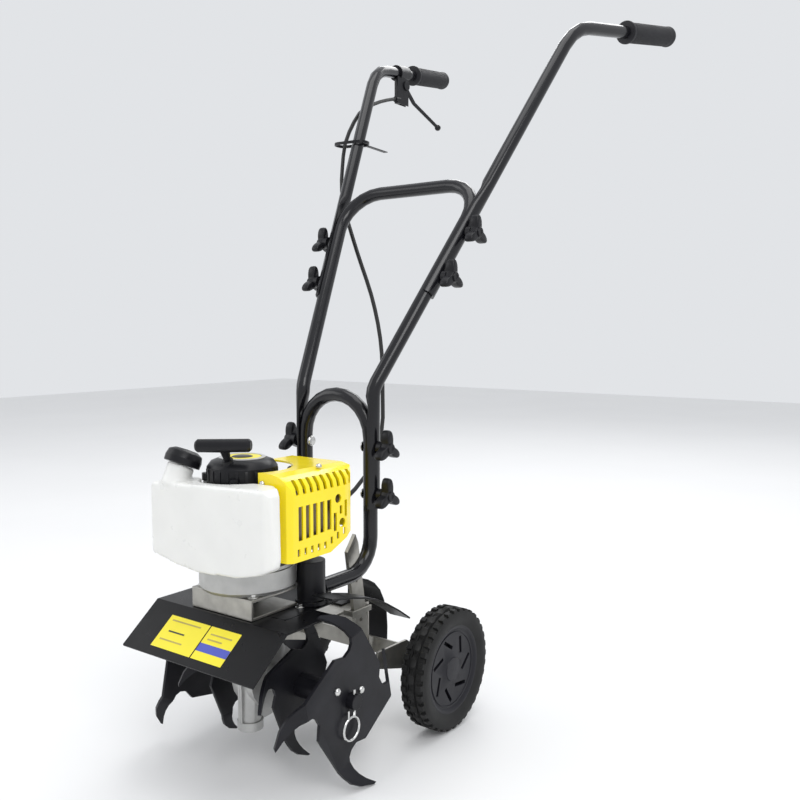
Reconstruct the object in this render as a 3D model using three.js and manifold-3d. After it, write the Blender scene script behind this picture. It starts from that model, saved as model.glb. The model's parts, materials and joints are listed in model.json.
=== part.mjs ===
// A small two-stroke garden tiller: an upright engine on a worm gearbox, four star tines on one axle,
// a folding tube handle with hand knobs, and two transport wheels behind the tines.
// Millimetres, +Z up, -Y is the front, +X is the operator's left. The ground is z = 0.
import * as THREE from "three";
import { mergeVertices } from "three/addons/utils/BufferGeometryUtils.js";
import Module from "manifold-3d";

const wasm = await Module();
wasm.setup();

// ---- driving dimensions ----
const GAP = 0.3; // clearance left between pieces that touch
const TUBE_R = 10.5; // handle tube
const TUBE_SIDES = 20;
const SADDLE_WALL = 3.2; // thickness of a tube end pressed into a saddle
const SADDLE_OFFSET = 5; // axis of a saddled tube from the axis of the tube it hugs
const AXLE_Z = 116.5; // tine axle height
const AXLE_R = 10;
const TINE_T = 4.5;
const INNER_SCALE = 0.79; // the inner stars are smaller, to turn under the frame plate
// Star plates on each half of the axle: places along it, size of the outer star, its turn, its folds.
const HALF_ROTORS = {
  left: { inner: 66, outer: 150, scale: 1, turn: 0, folds: [0.42, -0.7, -0.7, -0.5] },
  right: { inner: 50, outer: 126, scale: 0.93, turn: -Math.PI / 4, folds: [0.6, 0.5, 0.6, 0.5] },
};
const SHAFT_Y = -27; // engine and drive shaft axis, in front of the axle
const WHEEL_R = 89;
const WHEEL_Y = 220;
const WHEEL_X = 151; // middle of a wheel
const WHEEL_W = 40;
const ARCH_X = 62; // half width of the lower arch
const ARCH_Y = 157;
const ARCH_TOP = 487.5;
const ARCH_RUN_Z = 236; // height of the arch's forward run
const POST_Y = 28;
const POST_R = 19;
const MID_FOOT_Z = 326; // lower end of the middle handle's legs
const MID_KNEE_Z = 498;
const MID_TOP = [137.6, 352, 807]; // corner of the middle handle's cross bar
const UPPER_FOOT_Z = 634; // lower end of the upper handles
const HANDLE_BEND_Z = 1068;
const GRIP_END = [249, 815, 1120];
const GRIP_LENGTH = 150;
const GRIP_R = 16.5;
const KNOB_HEIGHTS = [726, 659, 414.5, 346];
const DECK_Z = 218.9; // top of the frame plate and of the guard
const DECK_T = 2.4;
const CHANNEL_TOP = 246;
const CHANNEL_X = 55;
const CHANNEL_FRONT = -76;
const PLATE_X = 84;
const PLATE_FRONT = -46;
const GUARD_X = 120;
const HOUSING_R = 64; // clutch housing
const STARTER_TOP = 417;
const STARTER_R = 46;
const STARTER_X = -3; // the starter sits a little off the crankshaft
const STARTER_Y = -32;
const FAN_R = 57;
const COVER_BACK = 77;
const COVER_SIDE = 105;
const STAKE_TILT = 0.163; // radians from upright
const STAKE_X = 40;

// ---- materials ----
const paint = { color: 0x1b1b1d, roughness: 0.35, metalness: 0.4 };
const looks = {
  tube: paint,
  sheet: { color: 0x161617, roughness: 0.4, metalness: 0.4 },
  tine: { color: 0x2a2a2d, roughness: 0.55, metalness: 0.6 },
  zinc: { color: 0xb9b7a6, roughness: 0.4, metalness: 0.8 },
  aluminium: { color: 0xc6c8ca, roughness: 0.45, metalness: 0.9 },
  steel: { color: 0x9a9a98, roughness: 0.35, metalness: 0.9 },
  rubber: { color: 0x141414, roughness: 0.8, metalness: 0 },
  tyre: { color: 0x4a4641, roughness: 0.9, metalness: 0 },
  black: { color: 0x141415, roughness: 0.45, metalness: 0 },
  yellow: { color: 0xf7e600, roughness: 0.35, metalness: 0 },
  tank: { color: 0xeceeea, roughness: 0.4, metalness: 0 },
  burnt: { color: 0x6f6250, roughness: 0.6, metalness: 0.7 },
};

const tiller = new THREE.Group();

function add(name, look, geometry) {
  const mesh = new THREE.Mesh(geometry, new THREE.MeshStandardMaterial(looks[look]));
  mesh.name = name;
  tiller.add(mesh);
}

// ---- joining and cutting ----
function toSolid(geometry) {
  const bare = geometry.clone();
  bare.deleteAttribute("normal");
  bare.deleteAttribute("uv");
  const merged = mergeVertices(bare, 1e-4);
  return new wasm.Manifold(
    new wasm.Mesh({
      numProp: 3,
      vertProperties: merged.attributes.position.array,
      triVerts: new Uint32Array(merged.index.array),
    }),
  );
}

function toGeometry(solid) {
  const mesh = solid.getMesh();
  const geometry = new THREE.BufferGeometry();
  geometry.setAttribute("position", new THREE.BufferAttribute(new Float32Array(mesh.vertProperties), 3));
  geometry.setIndex(new THREE.BufferAttribute(new Uint32Array(mesh.triVerts), 1));
  geometry.computeVertexNormals();
  return geometry;
}

const joined = (first, ...rest) => toGeometry(rest.reduce((a, g) => a.add(toSolid(g)), toSolid(first)));
const cut = (first, ...tools) => toGeometry(tools.reduce((a, g) => a.subtract(toSolid(g)), toSolid(first)));
const common = (first, second) => toGeometry(toSolid(first).intersect(toSolid(second)));

// ---- basic shapes, all placed in the tiller's frame ----
const vec = (p) => new THREE.Vector3(...p);
const side = (s, p) => [s * p[0], p[1], p[2]];

function box(low, high) {
  const size = high.map((h, i) => h - low[i]);
  return new THREE.BoxGeometry(...size).translate(...high.map((h, i) => (h + low[i]) / 2));
}

// Points a shape drawn along +Y from the origin from one point towards another.
function aimed(geometry, from, towards) {
  const along = vec(towards).sub(vec(from)).normalize();
  const turn = new THREE.Quaternion().setFromUnitVectors(new THREE.Vector3(0, 1, 0), along);
  return geometry.applyQuaternion(turn).translate(...from);
}

function rod(from, to, radius, sides = 16, radiusTo = radius) {
  const length = vec(from).distanceTo(vec(to));
  const upright = new THREE.CylinderGeometry(radiusTo, radius, length, sides).translate(0, length / 2, 0);
  return aimed(upright, from, to);
}

// A turned piece: profile rows are [radius, distance along the axis].
function turned(profile, from, towards, sides = 32) {
  const points = profile.map(([r, h]) => new THREE.Vector2(r, h));
  return aimed(new THREE.LatheGeometry(points, sides), from, towards);
}

function pipe(from, to, outer, inner, sides = 24) {
  const length = vec(from).distanceTo(vec(to));
  const profile = [
    [inner, 0],
    [outer, 0],
    [outer, length],
    [inner, length],
    [inner, 0],
  ];
  return turned(profile, from, to, sides);
}

const flat = (points) => new THREE.Shape(points.map(([u, v]) => new THREE.Vector2(u, v)));
const extruded = (outline, depth) =>
  new THREE.ExtrudeGeometry(outline.isShape ? outline : flat(outline), { depth, bevelEnabled: false, curveSegments: 8 });
const prismX = (outline, x0, x1) =>
  extruded(outline, x1 - x0)
    .applyMatrix4(new THREE.Matrix4().set(0, 0, 1, 0, 1, 0, 0, 0, 0, 1, 0, 0, 0, 0, 0, 1))
    .translate(x0, 0, 0);
const prismY = (outline, y0, y1) =>
  extruded(outline, y1 - y0)
    .rotateX(Math.PI / 2)
    .translate(0, y1, 0);
const prismZ = (outline, z0, z1) => extruded(outline, z1 - z0).translate(0, 0, z0);

// A rectangle with round corners, as a list of points.
function roundRect(u0, v0, u1, v1, r, steps = 4) {
  const corners = [
    [u1 - r, v1 - r, 0],
    [u0 + r, v1 - r, 1],
    [u0 + r, v0 + r, 2],
    [u1 - r, v0 + r, 3],
  ];
  return corners.flatMap(([u, v, quarter]) =>
    Array.from({ length: steps + 1 }, (_, i) => {
      const a = ((quarter + i / steps) * Math.PI) / 2;
      return [u + r * Math.cos(a), v + r * Math.sin(a)];
    }),
  );
}

function mirrored(geometry) {
  const copy = (geometry.index ? geometry.toNonIndexed() : geometry.clone()).scale(-1, 1, 1);
  const p = copy.attributes.position.array;
  for (let i = 0; i < p.length; i += 9)
    for (let k = 0; k < 3; k++) {
      const keep = p[i + 3 + k];
      p[i + 3 + k] = p[i + 6 + k];
      p[i + 6 + k] = keep;
    }
  copy.computeVertexNormals();
  return copy;
}

const sided = (geometry, s) => (s > 0 ? geometry : mirrored(geometry));
const SIDES = [
  ["left", 1],
  ["right", -1],
];

// Skin over a row of rings that all have the same number of points, closed by a flat cap at each end.
function lofted(rings) {
  const n = rings[0].length;
  const points = rings.flat();
  const faces = [];
  for (let r = 0; r + 1 < rings.length; r++)
    for (let i = 0; i < n; i++) {
      const a = r * n + i;
      const b = r * n + ((i + 1) % n);
      faces.push([a, b, b + n], [a, b + n, a + n]);
    }
  const capped = (ring, offset, flip) => {
    const x = ring[1].clone().sub(ring[0]).normalize();
    const far = ring[Math.floor(n / 2)].clone().sub(ring[0]);
    const normal = new THREE.Vector3().crossVectors(x, far).normalize();
    const y = new THREE.Vector3().crossVectors(normal, x);
    const plane = ring.map((p) => new THREE.Vector2(p.dot(x), p.dot(y)));
    const turn = THREE.ShapeUtils.area(plane) > 0;
    for (const [a, b, c] of THREE.ShapeUtils.triangulateShape(plane, []))
      faces.push(turn === flip ? [offset + a, offset + b, offset + c] : [offset + a, offset + c, offset + b]);
  };
  const heading = rings[1][0].clone().sub(rings[0][0]);
  const spin = (ring) => {
    const x = ring[1].clone().sub(ring[0]);
    const far = ring[Math.floor(n / 2)].clone().sub(ring[0]);
    return new THREE.Vector3().crossVectors(x, far);
  };
  const straight = (ring, dir) => spin(ring).dot(dir) > 0;
  capped(rings[0], 0, !straight(rings[0], heading));
  const last = rings.length - 1;
  const out = rings[last][0].clone().sub(rings[last - 1][0]);
  capped(rings[last], last * n, straight(rings[last], out));
  let volume = 0;
  for (const [a, b, c] of faces)
    volume += points[a].dot(new THREE.Vector3().crossVectors(points[b], points[c]));
  const order = volume > 0 ? faces : faces.map(([a, b, c]) => [a, c, b]);
  const geometry = new THREE.BufferGeometry();
  geometry.setAttribute("position", new THREE.Float32BufferAttribute(points.flatMap((p) => [p.x, p.y, p.z]), 3));
  geometry.setIndex(order.flat());
  geometry.computeVertexNormals();
  return geometry;
}

// Stations along straight runs joined by round bends: corner i is rounded to radius radii[i].
function bentPath(corners, radii, stepAngle = 0.3) {
  const points = corners.map(vec);
  const path = [{ at: points[0], dir: points[1].clone().sub(points[0]).normalize() }];
  for (let i = 1; i + 1 < points.length; i++) {
    const into = points[i].clone().sub(points[i - 1]).normalize();
    const away = points[i + 1].clone().sub(points[i]).normalize();
    const turn = into.angleTo(away);
    const reach = radii[i] * Math.tan(turn / 2);
    const inward = away.clone().sub(into).normalize();
    const centre = points[i].clone().addScaledVector(inward, radii[i] / Math.cos(turn / 2));
    const axis = new THREE.Vector3().crossVectors(into, away).normalize();
    const first = points[i].clone().addScaledVector(into, -reach).sub(centre);
    const steps = Math.max(2, Math.ceil(turn / stepAngle));
    for (let k = 0; k <= steps; k++) {
      const a = (turn * k) / steps;
      path.push({ at: first.clone().applyAxisAngle(axis, a).add(centre), dir: into.clone().applyAxisAngle(axis, a) });
    }
  }
  const last = points.length - 1;
  path.push({ at: points[last], dir: points[last].clone().sub(points[last - 1]).normalize() });
  return path.filter((s, i) => i === 0 || s.at.distanceTo(path[i - 1].at) > 0.5);
}

// A tube swept along stations. section(station index) gives its outline as [sideways, upward] pairs.
function swept(path, start, section) {
  const rings = [];
  let u = start.clone().addScaledVector(path[0].dir, -start.dot(path[0].dir)).normalize();
  path.forEach((station, i) => {
    if (i > 0) {
      const turn = new THREE.Quaternion().setFromUnitVectors(path[i - 1].dir, station.dir);
      u = u.clone().applyQuaternion(turn);
      u.addScaledVector(station.dir, -u.dot(station.dir)).normalize();
    }
    const v = new THREE.Vector3().crossVectors(station.dir, u);
    rings.push(section(i).map(([a, b]) => station.at.clone().addScaledVector(u, a).addScaledVector(v, b)));
  });
  return lofted(rings);
}

const circle = (r, sides) =>
  Array.from({ length: sides }, (_, i) => {
    const a = (i / sides) * 2 * Math.PI;
    return [r * Math.cos(a), r * Math.sin(a)];
  });

// Tube outline that changes from round, at 0, to a saddle that hugs the next tube, at 1.
function saddle(blend) {
  const half = TUBE_SIDES / 2;
  const inner = TUBE_R + 0.4;
  const outer = inner + SADDLE_WALL;
  return Array.from({ length: TUBE_SIDES }, (_, i) => {
    const outside = i < half;
    const t = outside ? i / (half - 1) : (i - half) / (half - 1);
    const a = ((outside ? t - 0.5 : 0.5 - t) * Math.PI * 0.98);
    const round = outside ? a : Math.PI - a;
    const r = outside ? outer : inner;
    const hug = [r * Math.cos(a * 0.82) - SADDLE_OFFSET, r * Math.sin(a * 0.82)];
    const full = [TUBE_R * Math.cos(round), TUBE_R * Math.sin(round)];
    return full.map((c, k) => c + (hug[k] - c) * blend);
  });
}

// Adds stations on the straight run between station i and the next, at the given heights.
function withHeights(path, heights) {
  const all = [...path];
  for (const z of heights) {
    const i = all.findIndex((s, k) => k + 1 < all.length && (s.at.z - z) * (all[k + 1].at.z - z) < 0);
    if (i < 0) continue;
    const t = (z - all[i].at.z) / (all[i + 1].at.z - all[i].at.z);
    all.splice(i + 1, 0, { at: all[i].at.clone().lerp(all[i + 1].at, t), dir: all[i + 1].dir.clone() });
  }
  return all;
}

// ---- handle ----
const legDir = vec(MID_TOP)
  .sub(vec([ARCH_X + SADDLE_OFFSET, ARCH_Y, MID_KNEE_Z]))
  .normalize();
const legAt = (z) => {
  const t = (z - MID_KNEE_Z) / legDir.z;
  return [ARCH_X + SADDLE_OFFSET + legDir.x * t, ARCH_Y + legDir.y * t, z];
};
const outward = vec([1, 0, 0]).addScaledVector(legDir, -legDir.x).normalize();
const upperAt = (z) => {
  const foot = vec(legAt(z)).addScaledVector(outward, SADDLE_OFFSET);
  return foot.addScaledVector(legDir, (z - foot.z) / legDir.z).toArray();
};
const bendAt = upperAt(HANDLE_BEND_Z);

function lowerArch() {
  const half = [
    [ARCH_X, POST_Y + POST_R + 0.6, ARCH_RUN_Z],
    [ARCH_X, ARCH_Y, ARCH_RUN_Z],
    [ARCH_X, ARCH_Y, ARCH_TOP],
  ];
  const corners = [...half, ...half.map((p) => side(-1, p)).reverse()];
  const path = bentPath(corners, [0, 48, ARCH_X, ARCH_X, 48, 0]);
  return swept(path, vec([1, 0, 0]), () => circle(TUBE_R, TUBE_SIDES));
}

function midHandle() {
  const half = [[ARCH_X + SADDLE_OFFSET, ARCH_Y, MID_FOOT_Z], legAt(MID_KNEE_Z), MID_TOP];
  const corners = [...half, ...half.map((p) => side(-1, p)).reverse()];
  const bends = bentPath(corners, [0, 34, 58, 58, 34, 0]);
  const path = withHeights(bends, [445, 470]);
  const mirroredPath = withHeights([...path].reverse(), [445, 470]).reverse();
  const level = (z, x) => (Math.abs(x) > 100 ? 0 : THREE.MathUtils.clamp((487 - z) / 42, 0, 1));
  return swept(mirroredPath, vec([1, 0, 0]), (i) => {
    const { x, z } = mirroredPath[i].at;
    return saddle(level(z, x));
  });
}

function upperHandle() {
  const end = vec(GRIP_END).addScaledVector(vec(bendAt).sub(vec(GRIP_END)).normalize(), 4).toArray();
  const bends = bentPath([upperAt(UPPER_FOOT_Z), bendAt, end], [0, 95, 0]);
  const path = withHeights(bends, [768, 785, 803]);
  const level = (z) => THREE.MathUtils.clamp((803 - z) / 35, 0, 1);
  return swept(path, vec([1, 0, 0]), (i) => saddle(level(path[i].at.z)));
}

function grip() {
  const back = vec(GRIP_END).sub(vec(bendAt)).normalize();
  const start = vec(GRIP_END).addScaledVector(back, -GRIP_LENGTH).toArray();
  const bore = TUBE_R + GAP;
  const profile = [
    [bore, 0],
    [GRIP_R + 2.5, 0],
    [GRIP_R + 2.5, 5],
    [GRIP_R, 8],
    [GRIP_R, GRIP_LENGTH - 10],
    [GRIP_R + 1.5, GRIP_LENGTH - 4],
    [GRIP_R - 2, GRIP_LENGTH],
    [0, GRIP_LENGTH],
    [0, GRIP_LENGTH - 3.5],
    [bore, GRIP_LENGTH - 3.5],
    [bore, 0],
  ];
  return turned(profile, start, GRIP_END, 16);
}

// A three-lobed hand knob whose axis is X, with its foot at x = 0.
function knob() {
  const steps = 24;
  const lobes = Array.from({ length: steps }, (_, i) => {
    const a = (i / steps) * 2 * Math.PI;
    const r = 8.6 + 17.2 * ((1 + Math.cos(3 * a)) / 2) ** 2;
    return [r * Math.cos(a + Math.PI / 2), r * Math.sin(a + Math.PI / 2)];
  });
  return joined(prismX(lobes, 8, 21), rod([0, 0, 0], [23, 0, 0], 9.5, 10));
}

const knobFoot = TUBE_R + 0.4 + SADDLE_WALL + 2.2;

function knobPlaces() {
  return KNOB_HEIGHTS.map((z, i) => {
    const [x, y] = i < 2 ? legAt(z) : [ARCH_X, ARCH_Y];
    return [x + knobFoot, y, z];
  });
}

function handle() {
  add("lower_arch", "tube", lowerArch());
  add("mid_handle", "tube", midHandle());
  for (const [name, s] of SIDES) {
    add("upper_handle_" + name, "tube", sided(upperHandle(), s));
    add("grip_" + name, "rubber", sided(grip(), s));
    for (const [i, place] of knobPlaces().entries()) {
      add("knob_" + name + "_" + (i + 1), "black", sided(knob().translate(...place), s));
    }
  }
}

// ---- throttle, on the right handle ----
const onRightHandle = (t) => side(-1, vec(bendAt).lerp(vec(GRIP_END), t).toArray());
const LEVER_PIVOT = [-209, 618, 1060];
const LEVER_END = [-209, 737, 1001];

function throttleClamp() {
  const [a, b] = [onRightHandle(0.27), onRightHandle(0.4)];
  const band = pipe(a, b, TUBE_R + 4.5, TUBE_R + GAP, 16);
  const below = onRightHandle(0.335);
  const arm = box([-213, 590, 1022], [-205, 626, below[2] - TUBE_R - 1.5]);
  const cheek = rod([-215.5, 618, 1060], [-202.5, 618, 1060], 9, 16);
  const ferrule = rod([-209, 586, 1029], [-209, 600, 1030], 5.5, 12);
  const slot = box([-211.9, 599.5, 1020], [-206.1, 700, 1074]);
  const tube = rod(onRightHandle(0.2), onRightHandle(0.5), TUBE_R + GAP, 16);
  return cut(joined(band, arm, cheek, ferrule), slot, tube);
}

function throttleLever() {
  const path = bentPath([[-209, 609, 1051], LEVER_PIVOT, [-209, 650, 1033], LEVER_END], [0, 6, 20, 0]);
  const blade = swept(path, vec([1, 0, 0]), (i) => {
    const t = i / (path.length - 1);
    return roundRect(-2.6, -6 + 2.5 * t, 2.6, 6 - 2.5 * t, 1.5, 1);
  });
  return joined(blade, new THREE.SphereGeometry(6.5, 12, 8).translate(...LEVER_END));
}

const CABLE_R = 3.6;
const CABLE_ROUTE = [
  [-209, 585, 1029],
  [-207, 548, 1018],
  [-205, 512, 1004],
  [-201, 470, 982],
  [-198, 438, 948],
  [-195, 415, 912],
  [-188, 399, 868],
  [-176, 382, 836],
  [-160, 366, 803],
  [-137, 352, 765],
  [-105, 338, 709],
  [-70, 334, 630],
  [-40, 317, 557],
  [-24, 300, 480],
  [-18, 290, 420],
  [-16, 262, 370],
  [-20, 222, 333],
  [-29, 180, 310],
  [-40, 130, 306],
  [-46, 90, 312],
  [-48, 47, 316],
];

function throttleCable() {
  const curve = new THREE.CatmullRomCurve3(CABLE_ROUTE.map(vec), false, "centripetal");
  return new THREE.ExtrudeGeometry(flat(circle(CABLE_R, 6)), { steps: 40, extrudePath: curve, bevelEnabled: false });
}

const TIE_Z = 912;

function cableTie() {
  const tube = upperAt(TIE_Z);
  const cable = [-195, 415];
  const centre = [(-tube[0] + cable[0]) / 2, (tube[1] + cable[1]) / 2];
  const reach = Math.hypot(-tube[0] - cable[0], tube[1] - cable[1]) / 2 + 4;
  const outer = roundRect(-reach - 13.5, -17.2, reach + 14.5, 17.2, 14, 3);
  const inner = roundRect(-reach - 11.5, -15.2, reach + 12.5, 15.2, 12, 3);
  const band = cut(prismZ(outer, -2.5, 2.5), prismZ(inner, -4, 4));
  const tail = box([reach - 4, 16, -2], [reach + 4, 90, -0.6]);
  const turn = Math.atan2(tube[1] - cable[1], -tube[0] - cable[0]);
  return joined(band, box([reach - 5, 15.5, -3.5], [reach + 5, 21, 3.5]), tail)
    .rotateZ(turn)
    .translate(...centre, TIE_Z);
}

function throttle() {
  add("throttle_clamp", "black", throttleClamp());
  add("throttle_lever", "black", throttleLever());
  add("throttle_cable", "rubber", throttleCable());
  add("cable_tie", "black", cableTie());
}

// ---- deck: channel, guards, posts ----
const onShaft = (z) => [0, SHAFT_Y, z];
const shaftHole = (r, z0, z1) => rod(onShaft(z0), onShaft(z1), r, 20);

function baseChannel() {
  const t = 4;
  const bottom = DECK_Z + GAP;
  const back = 8;
  const outline = [
    [back, bottom],
    [back, bottom + t],
    [CHANNEL_FRONT + t, bottom + t],
    [CHANNEL_FRONT + t, CHANNEL_TOP - t],
    [back, CHANNEL_TOP - t],
    [back, CHANNEL_TOP],
    [CHANNEL_FRONT, CHANNEL_TOP],
    [CHANNEL_FRONT, bottom],
  ];
  const holes = [shaftHole(14, 200, CHANNEL_TOP - 6), shaftHole(24, 235, 260)];
  return cut(prismX(outline, -CHANNEL_X, CHANNEL_X), ...holes);
}

function frontGuard() {
  const t = DECK_T;
  const top = DECK_Z;
  const outline = [
    [8, top],
    [-81, top],
    [-139, 172],
    [-137.8, 169.2],
    [-79.8, top - t],
    [8, top - t],
  ];
  const sheet = prismX(outline, -GUARD_X, GUARD_X);
  const seat = box([-PLATE_X - GAP, PLATE_FRONT - GAP, 200], [PLATE_X + GAP, 30, 240]);
  return cut(sheet, seat);
}

function rearGuard() {
  const t = 2.2;
  const top = [
    [4, 240],
    [46, 232],
    [74, 225],
    [98, 216],
    [120, 205],
    [150, 187],
    [175, 170],
  ];
  const outline = [...top, ...top.map(([y, z]) => [y - t * 0.35, z - t]).reverse()];
  const wing = prismX(outline, 85, GUARD_X);
  const tab = box([POST_R + ARCH_X + 0.4, POST_Y - 8, 228], [92, POST_Y + 10, 231.5]);
  return joined(wing, tab.translate(0, 0, 2.6));
}

function framePlate() {
  const plate = prismZ(roundRect(-PLATE_X, PLATE_FRONT, PLATE_X, 64, 8), DECK_Z - DECK_T, DECK_Z);
  return cut(plate, shaftHole(14, 200, 240));
}

function handlePost() {
  const foot = DECK_Z + GAP;
  const body = rod([ARCH_X, POST_Y, foot], [ARCH_X, POST_Y, 278], POST_R, 24);
  const collar = rod([ARCH_X, POST_Y, foot], [ARCH_X, POST_Y, foot + 6], POST_R + 3, 24);
  const clear = box([CHANNEL_X - 20, -10, 200], [CHANNEL_X + 20, 8 + GAP, 260]);
  return cut(joined(body, collar), clear);
}

function deck() {
  add("base_channel", "zinc", baseChannel());
  add("front_guard", "sheet", frontGuard());
  add("frame_plate", "sheet", framePlate());
  for (const [name, s] of SIDES) {
    add("rear_guard_" + name, "sheet", sided(rearGuard(), s));
    add("handle_post_" + name, "black", sided(handlePost(), s));
  }
}

// ---- gearbox and drive ----
const WHEEL_GEAR_R = 18;
const WORM_R = 8.4;
const PIN_STANDOFF = 8; // hitch pin in front of the outer plate's middle plane

function gearboxHalf() {
  const top = DECK_Z - DECK_T - GAP;
  const x0 = 0.15;
  const drum = rod([x0, 0, AXLE_Z], [19, 0, AXLE_Z], 42, 22);
  const boss = rod([10, 0, AXLE_Z], [33, 0, AXLE_Z], 21, 14, 18);
  const half = box([x0, -200, -50], [100, 200, 400]);
  const column = rod(onShaft(52), onShaft(top), 15, 16);
  const collar = rod(onShaft(50), onShaft(62), 17.5, 16);
  const neck = rod(onShaft(180), onShaft(top), 24, 16);
  const head = prismZ(roundRect(-34, -60, 34, 36, 6), top - 9, top);
  const upright = common(joined(column, collar, neck, head), half);
  const lip = prismX(roundRect(-46, 56, 18, top - 4, 10), x0, 3.6);
  const lipRound = rod([x0, 0, AXLE_Z], [3.6, 0, AXLE_Z], 47, 22);
  const shell = joined(drum, boss, upright, lip, lipRound);
  return cut(
    shell,
    rod([-1, 0, AXLE_Z], [10, 0, AXLE_Z], 30, 18),
    rod([-1, 0, AXLE_Z], [60, 0, AXLE_Z], AXLE_R + 0.5, 16),
    rod(onShaft(64), onShaft(top + 5), 12.2, 14),
  );
}

function wormShaft() {
  const z = onShaft;
  const shaft = rod(z(66), z(257), 6, 12);
  const threads = [-15, -5, 5].map((d) => rod(z(AXLE_Z + d), z(AXLE_Z + d + 5), WORM_R, 12));
  const bearings = [70, 190].map((v) => rod(z(v), z(v + 10), 11.4, 14));
  return joined(shaft, ...threads, ...bearings);
}

function clutchDrum() {
  const profile = [
    [6 + GAP, 0],
    [40, 0],
    [40, 18],
    [37.5, 18],
    [37.5, 2.5],
    [9, 2.5],
    [9, 5],
    [6 + GAP, 5],
    [6 + GAP, 0],
  ];
  return turned(profile, onShaft(252), onShaft(253), 28);
}

function wormWheel() {
  const teeth = 20;
  const outline = Array.from({ length: teeth * 2 }, (_, i) => {
    const a = (i / (teeth * 2)) * 2 * Math.PI;
    const r = i % 2 ? WHEEL_GEAR_R : WHEEL_GEAR_R - 2.4;
    return [r * Math.cos(a), AXLE_Z + r * Math.sin(a)];
  });
  return cut(prismX(outline, -6, 6), rod([-20, 0, AXLE_Z], [20, 0, AXLE_Z], AXLE_R + 0.5, 16));
}

function gearbox() {
  add("gearbox_left", "aluminium", gearboxHalf());
  add("gearbox_right", "aluminium", mirrored(gearboxHalf()));
  add("worm_shaft", "steel", wormShaft());
  add("clutch_drum", "steel", clutchDrum());
}

// ---- tines ----
// One arm points down at rest. Rows are [toward the back, up] from the axle, in the plane of the plate.
const ARM_FLAT = [
  [30, -61],
  [11, -59],
  [1, -65],
  [-3, -73],
  [-2, -80],
  [-24, -85],
  [-44, -56],
  [-61, -30],
];
const ARM_TIP = [
  [-2, -80],
  [1, -90],
  [7, -99],
  [16, -108],
  [30, -118.2],
  [26, -119.5],
  [5, -114.5],
  [-9, -106],
  [-18, -95],
  [-24, -85],
];

const spun = ([y, z], quarter) => {
  const a = (quarter * Math.PI) / 2;
  return [y * Math.cos(a) - z * Math.sin(a), y * Math.sin(a) + z * Math.cos(a)];
};

// A star plate at x = 0 with its four points folded by the given angles, positive away from the middle.
function starPlate(folds, scale, turn = 0) {
  const sized = (rows) => rows.map(([y, z]) => [y * scale, z * scale]);
  const flatRows = sized(ARM_FLAT).reverse();
  const tipRows = sized(ARM_TIP);
  const outline = [0, 1, 2, 3].flatMap((q) => flatRows.map((p) => spun(p, q)));
  const plate = prismX(outline, -TINE_T / 2, TINE_T / 2);
  const points = folds.map((fold, q) => {
    const [a, b] = [tipRows[0], tipRows[tipRows.length - 1]].map((p) => new THREE.Vector3(0, ...p));
    const hinge = b.clone().sub(a).normalize();
    const tip = prismX(tipRows, -TINE_T / 2, TINE_T / 2);
    const swing = new THREE.Matrix4().makeRotationAxis(hinge, fold);
    tip.translate(0, -a.y, -a.z).applyMatrix4(swing).translate(0, a.y, a.z);
    const [near, far] = [a.clone().addScaledVector(hinge, 0.6), b.clone().addScaledVector(hinge, -0.6)];
    const knuckle = rod(near.toArray(), far.toArray(), TINE_T / 2, 6);
    return joined(tip, knuckle).rotateX((q * Math.PI) / 2);
  });
  return joined(plate, ...points).rotateX(turn);
}

const HUB_R = 16;
const onAxle = (x) => [x, 0, AXLE_Z];

function innerTine({ inner, outer }) {
  const plate = starPlate([0.3, 0.65, -0.3, 0.5], INNER_SCALE, -0.2).translate(...onAxle(inner));
  const end = outer - TINE_T / 2 - GAP;
  const hub = rod(onAxle(36), onAxle(end), HUB_R, 16);
  const flange = rod(onAxle(end - 6), onAxle(end), 26, 16);
  const lockHole = rod([end - 22, 0, AXLE_Z - 40], [end - 22, 0, AXLE_Z + 40], 3, 8);
  return cut(joined(plate, hub, flange), rod(onAxle(0), onAxle(200), AXLE_R + 0.5, 16), lockHole);
}

function outerTine({ outer, scale, turn, folds }) {
  const plate = starPlate(folds, scale, turn).translate(...onAxle(outer));
  return cut(plate, rod(onAxle(100), onAxle(200), AXLE_R + 0.5, 16));
}

// A bent-wire safety pin through the end of the axle, with its ring hanging over the plate.
function hitchPin({ outer }) {
  const x = outer + PIN_STANDOFF;
  const r = 1.6;
  const pin = rod([x, 0, AXLE_Z - 18], [x, 0, AXLE_Z + 16], r, 8);
  const ring = new THREE.TorusGeometry(15, r, 6, 20)
    .rotateY(Math.PI / 2)
    .translate(x, -6, AXLE_Z - 33);
  const bow = rod([x, -12, AXLE_Z - 19.5], [x, -12, AXLE_Z - 8], r, 8);
  return joined(pin, ring, bow);
}

function tineAxle() {
  const [left, right] = [HALF_ROTORS.left.outer + PIN_STANDOFF, -HALF_ROTORS.right.outer - PIN_STANDOFF];
  const bar = rod(onAxle(right - 5), onAxle(left + 5), AXLE_R, 20);
  const pinHoles = [left, right].map((x) => rod([x, 0, AXLE_Z - 30], [x, 0, AXLE_Z + 30], 2.1, 8));
  return cut(bar, ...pinHoles);
}

function tines() {
  add("tine_axle", "steel", tineAxle());
  add("worm_wheel", "steel", wormWheel());
  for (const [name, s] of SIDES) {
    add("inner_tine_" + name, "tine", sided(innerTine(HALF_ROTORS[name]), s));
    add("outer_tine_" + name, "tine", sided(outerTine(HALF_ROTORS[name]), s));
    add("hitch_pin_" + name, "steel", sided(hitchPin(HALF_ROTORS[name]), s));
  }
}

// ---- stake, wheel carrier and wheels ----
const STAKE_HALF = 13;
const stakeY = (z) => 164 - (z - 122) * Math.tan(STAKE_TILT);

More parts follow.
